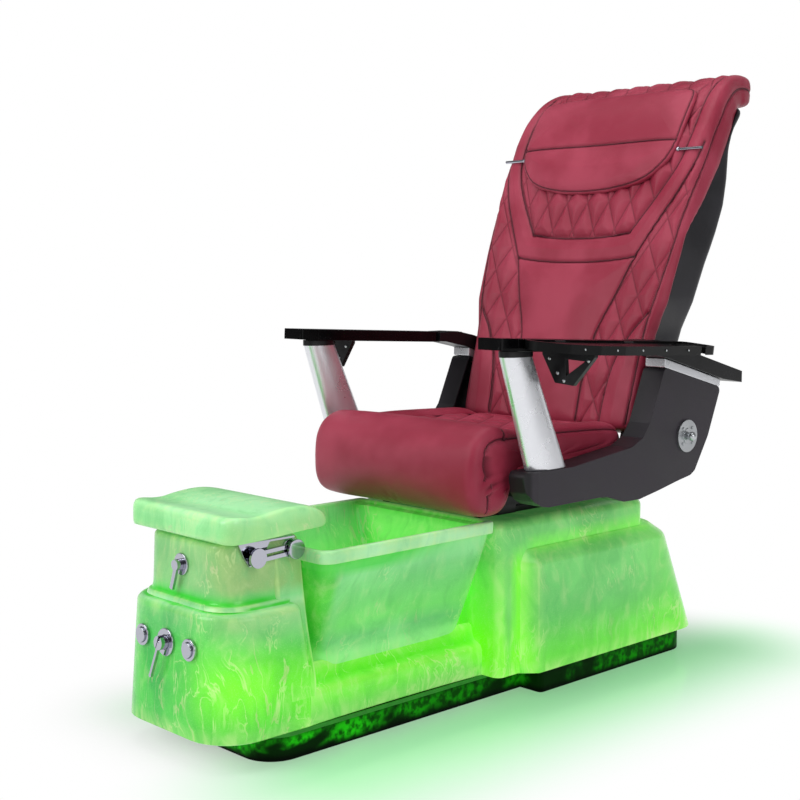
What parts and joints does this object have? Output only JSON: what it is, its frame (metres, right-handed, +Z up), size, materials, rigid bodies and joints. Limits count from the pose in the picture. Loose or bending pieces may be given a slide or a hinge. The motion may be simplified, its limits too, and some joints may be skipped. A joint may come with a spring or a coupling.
{
  "type": "pedicure spa chair",
  "caption": "Pedicure spa chair: green crystal tub base with footrest, sliding massage seat, reclining back, lift-up arms and flip-up trays.",
  "frame": {"origin": "on the floor, in the middle of the base's length and width", "axes": "+Z up, the sitter faces -Y, +X is the sitter's left"},
  "size_m": [0.939, 1.6023, 1.4386],
  "materials": {
    "crystal_shell": "translucent pearlescent, polished",
    "plinth_black": "satin",
    "led": "glowing",
    "chrome": "polished",
    "steel": "brushed",
    "brass_valve": "machined",
    "white_plastic": "satin",
    "rubber": "matte",
    "frame_black": "powder coated",
    "plywood": "raw",
    "leather": "soft grained",
    "shell_black": "fine grained",
    "polished_aluminium": "polished",
    "gloss_black": "high gloss"
  },
  "bodies": {
    "base": {"plinth": "plinth_black", "led_strip": "led", "front_tower": "crystal_shell", "footrest_column": "crystal_shell", "tub_skirt": "crystal_shell", "rear_housing": "crystal_shell", "tub_basin": "crystal_shell", "drain_fitting": "chrome", "jet_housing": "white_plastic", "jet_motor": "plinth_black", "fill_spout": "chrome", "mixer_escutcheon": "chrome", "mixer_cartridge": "brass_valve", "drain_escutcheon": "chrome", "button_bezels": "chrome", "button_switches": "plinth_black", "footrest_clamps": "chrome", "footrest_bumpers": "rubber", "seat_rails": "steel", "slide_screw": "steel"},
    "impeller": {"jet_impeller": "frame_black"},
    "drain_stopper": {"drain_stopper": "chrome"},
    "mixer_hub": {"mixer_hub": "chrome"},
    "mixer_lever": {"mixer_lever": "chrome"},
    "drain_lever": {"drain_lever": "chrome"},
    "button_left": {"button_left": "chrome"},
    "button_right": {"button_right": "chrome"},
    "links_upper": {"link_bars_upper": "chrome"},
    "links_lower": {"link_bars_lower": "chrome"},
    "footrest": {"footrest_pad": "crystal_shell", "footrest_brackets": "chrome"},
    "seat": {"seat_frame": "frame_black", "slide_blocks": "frame_black", "slide_drive": "frame_black", "seat_pan": "plywood", "seat_cushion": "leather", "side_shell_left": "shell_black", "side_shell_right": "shell_black", "arm_supports": "frame_black", "arm_posts": "polished_aluminium", "post_collars": "shell_black", "trim_plates": "polished_aluminium", "arm_tails": "shell_black", "purse_hooks": "steel"},
    "backrest": {"back_frame": "frame_black", "back_board": "plywood", "back_shell": "shell_black", "back_cushion": "leather", "head_pillow": "leather", "pillow_bars": "chrome"},
    "massage_carriage": {"massage_carriage": "frame_black"},
    "massage_rollers": {"massage_rollers": "white_plastic"},
    "arm_left": {"arm_beam_left": "gloss_black", "arm_nose_left": "gloss_black", "tray_bracket_left": "gloss_black"},
    "arm_right": {"arm_beam_right": "gloss_black", "arm_nose_right": "gloss_black", "tray_bracket_right": "gloss_black"},
    "tray_left": {"tray_left": "gloss_black"},
    "tray_right": {"tray_right": "gloss_black"}
  },
  "joints": [
    {"name": "jet_spin", "type": "hinge", "parent": "base", "child": "impeller", "pos_m": [0, -0.04, 0.27], "axis": [0, 1, 0], "continuous": true},
    {"name": "mixer_turn", "type": "hinge", "parent": "base", "child": "mixer_hub", "pos_m": [0, -0.72087, 0.237], "axis": [0, 0.9982, -0.0603], "range_deg": [-45, 45]},
    {"name": "mixer_lift", "type": "hinge", "parent": "mixer_hub", "child": "mixer_lever", "pos_m": [0, -0.73684, 0.23797], "axis": [-0.9397, 0.0206, 0.3414], "range_deg": [0, 25]},
    {"name": "drain_lever_turn", "type": "hinge", "parent": "base", "child": "drain_lever", "pos_m": [0, -0.6805, 0.387], "axis": [0, -1, 0], "range_deg": [0, 80]},
    {"name": "stopper_lift", "type": "slide", "parent": "base", "child": "drain_stopper", "axis": [0, 0, 1], "range_m": [0, 0.01]},
    {"name": "button_left_press", "type": "slide", "parent": "base", "child": "button_left", "axis": [0, 0.9982, -0.0603], "range_m": [0, 0.003], "stiffness_N_per_m": 400, "springref_m": -0.001},
    {"name": "button_right_press", "type": "slide", "parent": "base", "child": "button_right", "axis": [0, 0.9982, -0.0603], "range_m": [0, 0.003], "stiffness_N_per_m": 400, "springref_m": -0.001},
    {"name": "footrest_lift", "type": "hinge", "parent": "base", "child": "links_upper", "pos_m": [0, -0.5115, 0.4245], "axis": [-1, 0, 0], "range_deg": [0, 60]},
    {"name": "footrest_lower_link", "type": "hinge", "parent": "base", "child": "links_lower", "pos_m": [0, -0.5265, 0.4095], "axis": [-1, 0, 0], "range_deg": [0, 60]},
    {"name": "footrest_level", "type": "hinge", "parent": "links_upper", "child": "footrest", "pos_m": [0, -0.60637, 0.4195], "axis": [-1, 0, 0], "range_deg": [-60, 0]},
    {"name": "seat_slide", "type": "slide", "parent": "base", "child": "seat", "axis": [0, 1, 0], "range_m": [-0.03, 0.12]},
    {"name": "recline", "type": "hinge", "parent": "seat", "child": "backrest", "pos_m": [0, 0.44, 0.56], "axis": [-1, 0, 0], "range_deg": [0, 20]},
    {"name": "massage_travel", "type": "slide", "parent": "backrest", "child": "massage_carriage", "axis": [0, 0.3256, 0.9455], "range_m": [-0.04, 0.22]},
    {"name": "roller_spin", "type": "hinge", "parent": "massage_carriage", "child": "massage_rollers", "pos_m": [0, 0.57361, 0.87193], "axis": [1, 0, 0], "continuous": true},
    {"name": "arm_left_lift", "type": "hinge", "parent": "seat", "child": "arm_left", "pos_m": [0.319, 0.34021, 0.79334], "axis": [-1, 0, 0], "range_deg": [0, 80]},
    {"name": "tray_left_flip", "type": "hinge", "parent": "arm_left", "child": "tray_left", "pos_m": [0.36095, 0.15769, 0.80828], "axis": [0, -0.999, 0.0436], "range_deg": [0, 90]},
    {"name": "arm_right_lift", "type": "hinge", "parent": "seat", "child": "arm_right", "pos_m": [-0.319, 0.34021, 0.79334], "axis": [-1, 0, 0], "range_deg": [0, 80]},
    {"name": "tray_right_flip", "type": "hinge", "parent": "arm_right", "child": "tray_right", "pos_m": [-0.36095, 0.15769, 0.80828], "axis": [0, 0.999, -0.0436], "range_deg": [0, 90]}
  ],
  "couplings": [
    {"joint": "footrest_lower_link", "follows": "footrest_lift", "ratio": 1},
    {"joint": "footrest_level", "follows": "footrest_lift", "ratio": -1},
    {"joint": "drain_lever_turn", "follows": "stopper_lift", "rad_per_m": 139.56}
  ]
}
